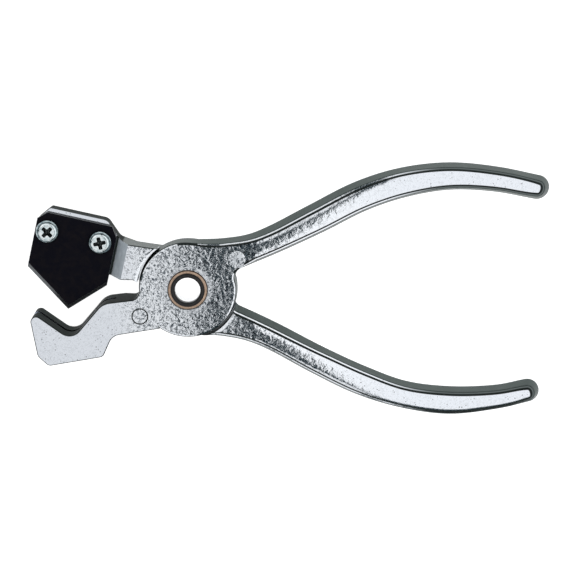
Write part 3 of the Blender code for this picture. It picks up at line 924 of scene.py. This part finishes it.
class Surface:
    """A material under construction: a Principled shader and the procedural nodes that feed it."""

    def __init__(self, name, metallic):
        self.material = bpy.data.materials.new(name)
        self.material.use_nodes = True
        self.nodes = self.material.node_tree.nodes
        self.links = self.material.node_tree.links
        self.shader = self.nodes["Principled BSDF"]
        self.shader.inputs["Metallic"].default_value = metallic
        position = self.node("TexCoord").outputs["Object"]
        self.place = self.scaled(position, (1 / MM, 1 / MM, 1 / MM))

    def node(self, kind, **values):
        """A new node, with plain values in its named inputs."""
        node = self.nodes.new("ShaderNode" + kind)
        for name, value in values.items():
            node.inputs[name].default_value = value
        return node

    def scaled(self, vector, scale):
        node = self.node("Mapping", Scale=scale)
        self.links.new(vector, node.inputs["Vector"])
        return node.outputs["Vector"]

    def noise(self, scale, detail=3.0, roughness=0.55, distortion=0.0, vector=None):
        shape = {"Detail": detail, "Roughness": roughness, "Distortion": distortion}
        node = self.node("TexNoise", Scale=scale, **shape)
        self.links.new(vector or self.place, node.inputs["Vector"])
        return node.outputs["Fac"]

    def spots(self, scale, radius):
        """One small spot in each cell: 1 at its middle and 0 past its radius."""
        node = self.node("TexVoronoi", Scale=scale)
        self.links.new(self.place, node.inputs["Vector"])
        return self.range(node.outputs["Distance"], radius, radius * 0.3, 0.0, 1.0)

    def range(self, value, low, high, new_low=0.0, new_high=1.0, smooth=False):
        limits = {"From Min": low, "From Max": high, "To Min": new_low, "To Max": new_high}
        node = self.node("MapRange", **limits)
        if smooth:
            node.interpolation_type = "SMOOTHSTEP"
        self.links.new(value, node.inputs["Value"])
        return node.outputs["Result"]

    def math(self, operation, first, second):
        node = self.node("Math")
        node.operation = operation
        for socket, value in zip(node.inputs, (first, second)):
            if isinstance(value, (int, float)):
                socket.default_value = value
            else:
                self.links.new(value, socket)
        return node.outputs["Value"]

    def along(self, axis):
        """The position along one axis, in millimetres from the object's origin."""
        node = self.node("SeparateXYZ")
        self.links.new(self.place, node.inputs["Vector"])
        return node.outputs[axis]

    def from_axis(self):
        """The distance from the Z axis through the object's origin, in millimetres."""
        squares = [self.math("POWER", self.along(axis), 2.0) for axis in "XY"]
        return self.math("POWER", self.math("ADD", *squares), 0.5)

    def colour(self, share, first, second):
        """Runs from one colour to another as the share goes from 0 to 1."""
        node = self.node("Mix")
        node.data_type = "RGBA"
        self.links.new(share, node.inputs["Factor"])
        for socket, value in ((node.inputs[6], first), (node.inputs[7], second)):
            if isinstance(value, tuple):
                socket.default_value = (*value, 1.0)
            else:
                self.links.new(value, socket)
        return node.outputs[2]

    def grained(self, colour, grain, smoothest, roughest, depth, height=None):
        """Feeds the shader with a roughness that follows the grain, as the height does by default."""
        roughness = self.range(grain, 0.3, 0.7, smoothest, roughest)
        return self.use(colour, roughness, height or grain, depth)

    def use(self, colour, roughness, height, depth):
        """Feeds the shader: its colour, its roughness, and a bump as deep as depth, in millimetres."""
        bump = self.node("Bump", Distance=depth * MM)
        self.links.new(height, bump.inputs["Height"])
        self.links.new(bump.outputs["Normal"], self.shader.inputs["Normal"])
        self.links.new(colour, self.shader.inputs["Base Color"])
        self.links.new(roughness, self.shader.inputs["Roughness"])
        return self.material


def plated_face(name, dullness):
    """Bright plating over a cast skin: pebbled at the hub and the handle roots, smooth elsewhere.

    The skin fades towards the jaw, towards the tip, and on what lies lower than the full height.
    A ring round the pivot is duller, where the bushing's counterbore was cut. The colour is painted
    lighter over the skin as a highlight, mottled dark over the hub as painted reflections, and
    darkened on the ledges near the handles' tips as painted shade.
    """
    surface = Surface(name, 1.0)
    x = surface.along("X")
    height_off_lap = surface.math("ABSOLUTE", surface.along("Z"), 0.0)
    top = surface.range(height_off_lap, HUB_HALF - 0.1, HUB_HALF - 0.01, 0.25, 1.0)
    from_jaw = surface.range(x, -31.0, -15.0, 0.14, 1.0, smooth=True)
    to_tip = surface.range(x, 42.0, 92.0, 1.0, 0.12, smooth=True)
    mottle_to_tip = surface.range(x, 22.0, 58.0, 1.0, 0.12, smooth=True)
    skin = surface.math("MULTIPLY", from_jaw, to_tip)

    pebbles = surface.noise(0.55, detail=2.5, distortion=0.5)
    fine = surface.noise(5.0, detail=2.0)
    swell = surface.noise(0.12, detail=2.0)
    pits = surface.spots(0.8, 0.2)
    sparse = surface.range(surface.noise(0.3, detail=1.0), 0.46, 0.56)
    pits = surface.math("MULTIPLY", pits, sparse)
    height = surface.math("MULTIPLY", pebbles, surface.math("MULTIPLY", skin, top))
    height = surface.math("ADD", height, surface.math("MULTIPLY", fine, 0.03))
    height = surface.math("ADD", height, surface.math("MULTIPLY", swell, 0.6))
    height = surface.math("SUBTRACT", height, surface.math("MULTIPLY", pits, 0.4))

    # Painted dark reflections: a mottle of dark spots and lines on the hub's face, fading towards the
    # jaw, the tip and lower faces.
    mottle_spots = surface.range(surface.noise(1.1, detail=2.0, roughness=0.6), 0.575, 0.64)
    folds = surface.noise(0.42, detail=2.0, roughness=0.6, distortion=1.2)
    mottle_lines = surface.math("ABSOLUTE", surface.math("SUBTRACT", folds, 0.5), 0.0)
    mottle_lines = surface.range(mottle_lines, 0.03, 0.008)
    painted_dark_mottle = surface.math("MULTIPLY", surface.math("MAXIMUM", mottle_spots, mottle_lines), from_jaw)
    painted_dark_mottle = surface.math("MULTIPLY", painted_dark_mottle, mottle_to_tip)
    painted_dark_mottle = surface.math("MULTIPLY", painted_dark_mottle, top)
    # Painted highlight: the plating is coloured lighter over the skin, most at the hub.
    colour = surface.colour(skin, (0.765, 0.79, 0.84), (0.87, 0.89, 0.925))
    colour = surface.colour(painted_dark_mottle, colour, (0.11, 0.13, 0.15))
    colour = surface.colour(surface.math("MULTIPLY", pits, 0.85), colour, (0.10, 0.08, 0.09))
    # Painted shade: the ledges near the handles' tips are coloured dark.
    ledge = surface.range(height_off_lap, BANK_FOOT, BANK_FOOT + 0.1, 1.0, 0.0)
    painted_ledge_shade = surface.math("MULTIPLY", ledge, surface.range(x, 74.0, 98.0, smooth=True))
    colour = surface.colour(painted_ledge_shade, colour, (0.11, 0.125, 0.125))

    cut_edge = COUNTERBORE_RADIUS + 0.45
    cut_ring = surface.range(surface.from_axis(), cut_edge, cut_edge + 1.8, 0.34, 0.0, smooth=True)
    polish = surface.range(fine, 0.3, 0.7, dullness + 0.05, dullness + 0.12)
    return surface.use(colour, surface.math("ADD", polish, cut_ring), height, 0.07)


def cast_side(name, light):
    """The castings' drafted sides: dull grey-green plating with a soft sandy grain. A light below 1
    darkens its colour and specular tint, for a copy that is painted shade.
    """
    surface = Surface(name, 1.0)
    surface.shader.inputs["Specular Tint"].default_value = (light, light, light, 1.0)
    grain = surface.noise(2.2, detail=4.0, roughness=0.6)
    cloud = surface.noise(0.09)
    dull, fair, bright = (0.050, 0.065, 0.062), (0.088, 0.105, 0.101), (0.145, 0.162, 0.158)
    dull, fair, bright = (tuple(part * light for part in shade) for shade in (dull, fair, bright))
    colour = surface.colour(cloud, dull, fair)
    colour = surface.colour(surface.range(grain, 0.5, 0.8, 0.0, 0.5), colour, bright)
    return surface.grained(colour, grain, 0.36, 0.5, 0.02)


def milled_ramp():
    """The ramp down to the blade's pad: milled grey steel with fine cutter lines."""
    surface = Surface("milled_ramp", 0.1)
    lines = surface.noise(1.6, vector=surface.scaled(surface.place, (0.5, 5.0, 0.5)))
    cloud = surface.noise(0.5)
    colour = surface.colour(cloud, (0.36, 0.41, 0.45), (0.66, 0.71, 0.76))
    return surface.grained(colour, lines, 0.34, 0.48, 0.008)


def blackened_blade():
    """Blackened tool steel with faint brown smudges and a satin sheen."""
    surface = Surface("blackened_blade", 0.0)
    surface.shader.inputs["Specular IOR Level"].default_value = 0.06
    smudge = surface.noise(0.35, detail=5.0, roughness=0.65, distortion=0.6)
    fine = surface.noise(6.0, detail=2.0)
    colour = surface.colour(
        surface.range(smudge, 0.42, 0.75), (0.0018, 0.0018, 0.0050), (0.0065, 0.0050, 0.0065)
    )
    return surface.grained(colour, smudge, 0.34, 0.5, 0.004, fine)


def ground_edge():
    """Bare ground steel along the blade's cutting edges, with fine grinding lines."""
    surface = Surface("ground_edge", 1.0)
    lines = surface.noise(2.0, vector=surface.scaled(surface.place, (6.0, 6.0, 0.4)))
    colour = surface.colour(lines, (0.16, 0.165, 0.17), (0.30, 0.31, 0.32))
    return surface.grained(colour, lines, 0.28, 0.42, 0.004)


def zinc_screw(name, dull, bright):
    """Clear-passivated zinc: slightly blue-green, in two shades, with small handling marks."""
    surface = Surface(name, 1.0)
    cloud = surface.noise(0.8, detail=4.0)
    fine = surface.noise(7.0, detail=2.0)
    colour = surface.colour(surface.range(cloud, 0.35, 0.65), dull, bright)
    return surface.grained(colour, fine, 0.07, 0.15, 0.004)


def painted_shade_recess():
    """The inside of a driven cross recess: dull zinc, coloured dark with a mottle as painted shade."""
    surface = Surface("painted_shade_recess", 1.0)
    shade_mottle = surface.noise(1.4)
    colour = surface.colour(surface.range(shade_mottle, 0.4, 0.65), (0.02, 0.024, 0.026), (0.16, 0.18, 0.18))
    return surface.grained(colour, shade_mottle, 0.4, 0.6, 0.01)


def turned_bronze():
    """Turned bronze with fine rings, darkened in patches, and with a painted shadow line round the
    rim.
    """
    surface = Surface("turned_bronze", 1.0)
    surface.shader.inputs["Specular Tint"].default_value = (0.8, 0.8, 0.8, 1.0)
    rings = surface.node("TexWave", Scale=2.6, Distortion=0.4)
    rings.wave_type = "RINGS"
    rings.rings_direction = "Z"
    surface.links.new(surface.place, rings.inputs["Vector"])
    patch = surface.noise(0.7, detail=4.0, roughness=0.7)
    colour = surface.colour(
        surface.range(patch, 0.35, 0.7), (0.66, 0.48, 0.36), (0.42, 0.29, 0.21)
    )
    shadow_rim_start = FLANGE_RADIUS - FLANGE_EDGE
    # Painted shadow: a dark line round the outer rim of the flange and the washer.
    rim = surface.range(surface.from_axis(), shadow_rim_start, shadow_rim_start + FLANGE_EDGE / 2)
    colour = surface.colour(rim, colour, (0.10, 0.06, 0.04))
    return surface.grained(colour, patch, 0.24, 0.4, 0.006, rings.outputs["Fac"])


def black_rivet():
    """Black oxide on the rivet's rolled lips, dulled by handling."""
    surface = Surface("black_rivet", 0.5)
    patch = surface.noise(0.9, detail=4.0)
    fine = surface.noise(5.0, detail=2.0)
    colour = surface.colour(patch, (0.010, 0.010, 0.011), (0.032, 0.030, 0.029))
    return surface.grained(colour, patch, 0.3, 0.46, 0.005, fine)


def painted_bright_bore():
    """The rivet's bore, coloured near white with faint streaks as painted light, so the hole reads
    bright.
    """
    surface = Surface("painted_bright_bore", 1.0)
    streaks = surface.noise(1.5, vector=surface.scaled(surface.place, (1.0, 1.0, 0.15)))
    colour = surface.colour(streaks, (0.78, 0.79, 0.80), (0.95, 0.95, 0.95))
    return surface.grained(colour, streaks, 0.25, 0.45, 0.005)


def spring_wire():
    """Oiled spring wire with drawing lines."""
    surface = Surface("spring_wire", 1.0)
    lines = surface.noise(3.0)
    colour = surface.colour(lines, (0.16, 0.16, 0.17), (0.34, 0.34, 0.35))
    return surface.grained(colour, lines, 0.28, 0.45, 0.006)


# ---------------------------- placing and staging


def dress(piece, materials, choose, sharp):
    """Gives a piece its materials, each face the one that choose names, and smooth round faces."""
    piece.data.materials.clear()
    for material in materials:
        piece.data.materials.append(material)
    for face in piece.data.polygons:
        face.material_index = choose(face)
    piece.data.shade_smooth()
    piece.data.set_sharp_from_angle(angle=radians(sharp))
    weighted = piece.modifiers.new("Flat faces stay flat", "WEIGHTED_NORMAL")
    weighted.weight = 100
    weighted.keep_sharp = True


def only_slot(face):
    """The material of every face of a piece that has one material."""
    return 0


def blade_slot(face):
    """The material of the blade's face: 1 on its slanted ground bevels, and 0 elsewhere."""
    return int(BEVEL_LEAN[0] < abs(face.normal.z) < BEVEL_LEAN[1])


def on_mark(x, y, mark):
    mark_x, mark_y, radius = mark
    return hypot(x - mark_x, y - mark_y) < radius


def casting_slot(face):
    """The material of a lever's face.

    0 is the plated face, 1 the cast side, 2 the blade's ramp, 3 the darker copy of the cast side
    painted as shade, and 4 the satin pad.
    """
    x, y, z = face.center / MM
    if on_mark(x, y, ROOT_MARK) and z > HUB_HALF + MARK_DEPTH / 2:
        return 4
    # Painted shade: the neck mark's groove takes the darker copy of the cast side.
    if on_mark(x, y, NECK_MARK) and 0 < z < HUB_HALF - MARK_DEPTH / 4:
        return 3
    # Painted shadow: the relief's floor beside the blade's edge takes the darker copy.
    if abs(z - BLADE_PAD + RELIEF_DEPTH) < SEAT_GAP / 2:
        return 3
    if abs(face.normal.z) >= FLAT_ENOUGH:
        return 0
    # Painted shade: edges and banks just below the face take the darker copy.
    if abs(z) > BANK_FOOT:
        return 3
    if x > -STEP_RADIUS:
        return 1
    if face.normal.x < RAMP_LEAN[0] and face.normal.z > RAMP_LEAN[1]:
        return 2
    # Painted shade: the jaw walls take the darker copy, other sides the plain cast side.
    return 3 if x < PAD_FOOT or y < 0 else 1


def make_light(name, place, size, strength, turn=0.0, tilt=0.0, seen_in_gloss=True):
    """A rectangular soft light facing down. Its strength is the brightness of its surface."""
    light = bpy.data.lights.new(name, "AREA")
    light.shape = "RECTANGLE"
    light.size, light.size_y = size
    light.energy = strength * pi * size[0] * size[1]
    holder = bpy.data.objects.new(name, light)
    holder.location = place
    holder.rotation_euler = (radians(tilt), 0, radians(turn))
    holder.visible_glossy = seen_in_gloss
    bpy.context.scene.collection.objects.link(holder)


def make_world():
    """A pale backdrop, with the room round the softboxes dark where metal mirrors it."""
    world = bpy.data.worlds.new("studio")
    bpy.context.scene.world = world
    world.use_nodes = True
    nodes, links = world.node_tree.nodes, world.node_tree.links
    seen = nodes.new("ShaderNodeLightPath").outputs["Is Camera Ray"]
    mix = nodes.new("ShaderNodeMix")
    mix.data_type = "RGBA"
    mix.inputs[6].default_value = (0.022, 0.038, 0.046, 1.0)
    mix.inputs[7].default_value = (0.93, 0.93, 0.94, 1.0)
    links.new(seen, mix.inputs["Factor"])
    links.new(mix.outputs[2], nodes["Background"].inputs["Color"])


def make_floor():
    bpy.ops.mesh.primitive_plane_add(size=FLOOR_SIZE, location=(0, 0, cad_low.z))
    floor = bpy.context.object
    floor.name = "floor"
    material = bpy.data.materials.new("floor_paint")
    material.use_nodes = True
    shader = material.node_tree.nodes["Principled BSDF"]
    shader.inputs["Base Color"].default_value = (0.6, 0.6, 0.6, 1.0)
    shader.inputs["Roughness"].default_value = 0.9
    shader.inputs["Emission Color"].default_value = (1.0, 1.0, 1.0, 1.0)
    shader.inputs["Emission Strength"].default_value = 0.85
    floor.data.materials.append(material)


def make_camera():
    lean = radians(CAMERA_LEAN)
    data = bpy.data.cameras.new("camera")
    data.sensor_width = SENSOR_WIDTH
    data.lens = SENSOR_WIDTH * CAMERA_DISTANCE / VIEW_WIDTH
    camera = bpy.data.objects.new("camera", data)
    camera.location = PIVOT + (CAMERA_AIM + Vector((0, sin(lean), cos(lean))) * CAMERA_DISTANCE) * MM
    camera.rotation_euler = (-lean, 0, 0)
    bpy.context.scene.collection.objects.link(camera)
    bpy.context.scene.camera = camera


def make_studio():
    make_world()
    make_floor()
    for name, x, y, size, strength, turn in (
        ("right_softbox", 0.566, 0.02, (1.10, 1.15), 1.05, 0),
        ("left_softbox", -0.478, -0.258, (0.8, 0.28), 0.84, 9),
        ("front_softbox", -0.36, -0.71, (0.7, 0.48), 0.9, 0),
        ("back_softbox", -0.40, 0.31, (0.70, 0.70), 0.9, 0),
    ):
        make_light(name, (x, y, SOFTBOX_HEIGHT), size, strength, turn)
    make_light("fill", (0.0, 0.0, FILL_HEIGHT), (2.4, 2.4), 0.8, seen_in_gloss=False)
    for quarter in range(4):
        turn = 90 * quarter + 45
        x, y = turned_about_pivot((0, -SCREEN_DISTANCE), turn)
        make_light(f"screen_{quarter}", (x, y, SCREEN_MIDDLE), SCREEN_SIZE, 0.55, turn, tilt=90)
    make_camera()


def main():
    casting = (
        plated_face("plated_face", 0.0),
        cast_side("cast_side", 1.0),
        milled_ramp(),
        # Darker copy of the cast side, painted shade on jaw walls, banks, the neck mark's groove and
        # the relief's floor.
        cast_side("cast_side_painted_shade", 0.45),
        plated_face("satin_pad", 0.33),
    )
    zinc = (
        zinc_screw("zinc_screw", (0.62, 0.72, 0.74), (0.95, 0.98, 0.98)),
        painted_shade_recess(),
        # Darker copy of the zinc on the crown and shank, painted shade.
        zinc_screw("zinc_crown_painted_shade", (0.13, 0.18, 0.20), (0.50, 0.58, 0.60)),
    )
    steel = (blackened_blade(), ground_edge())
    bronze = (turned_bronze(),)
    rivet = (black_rivet(), painted_bright_bore())
    anvil_lever = make_anvil_lever()
    blade_lever = make_blade_lever()
    blade = make_blade()
    outer_screw = make_screw("blade_screw_outer_pan_head", SCREW_OUTER)
    inner_screw = make_screw("blade_screw_inner_pan_head", SCREW_INNER)

    for piece, body, node, slot, materials, choose in (
        (anvil_lever, "anvil_side", "anvil_lever", "plated_casting", casting, casting_slot),
        (blade_lever, "blade_side", "blade_lever", "plated_casting", casting, casting_slot),
        (blade, "blade_side", "blade", "blackened_steel", steel, blade_slot),
        (outer_screw, "blade_side", "blade_screw_outer", "zinc_screw", zinc, screw_slot),
        (inner_screw, "blade_side", "blade_screw_inner", "zinc_screw", zinc, screw_slot),
        (make_bushing(), "anvil_side", "pivot_bushing", "bronze", bronze, only_slot),
        (make_washer(), "anvil_side", "rivet_washer", "bronze", bronze, only_slot),
        (make_rivet(), "anvil_side", "pivot_rivet", "blackened_steel", rivet, rivet_slot),
    ):
        dress(piece, materials, choose, SHARP_CAST if materials is casting else SHARP_TURNED)
        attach(piece, body)
        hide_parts(node)

    spring = frame["nodes"]["return_spring"]
    spring.data.materials.clear()
    spring.data.materials.append(spring_wire())

    make_studio()
    bpy.context.scene.view_settings.view_transform = "Standard"


main()
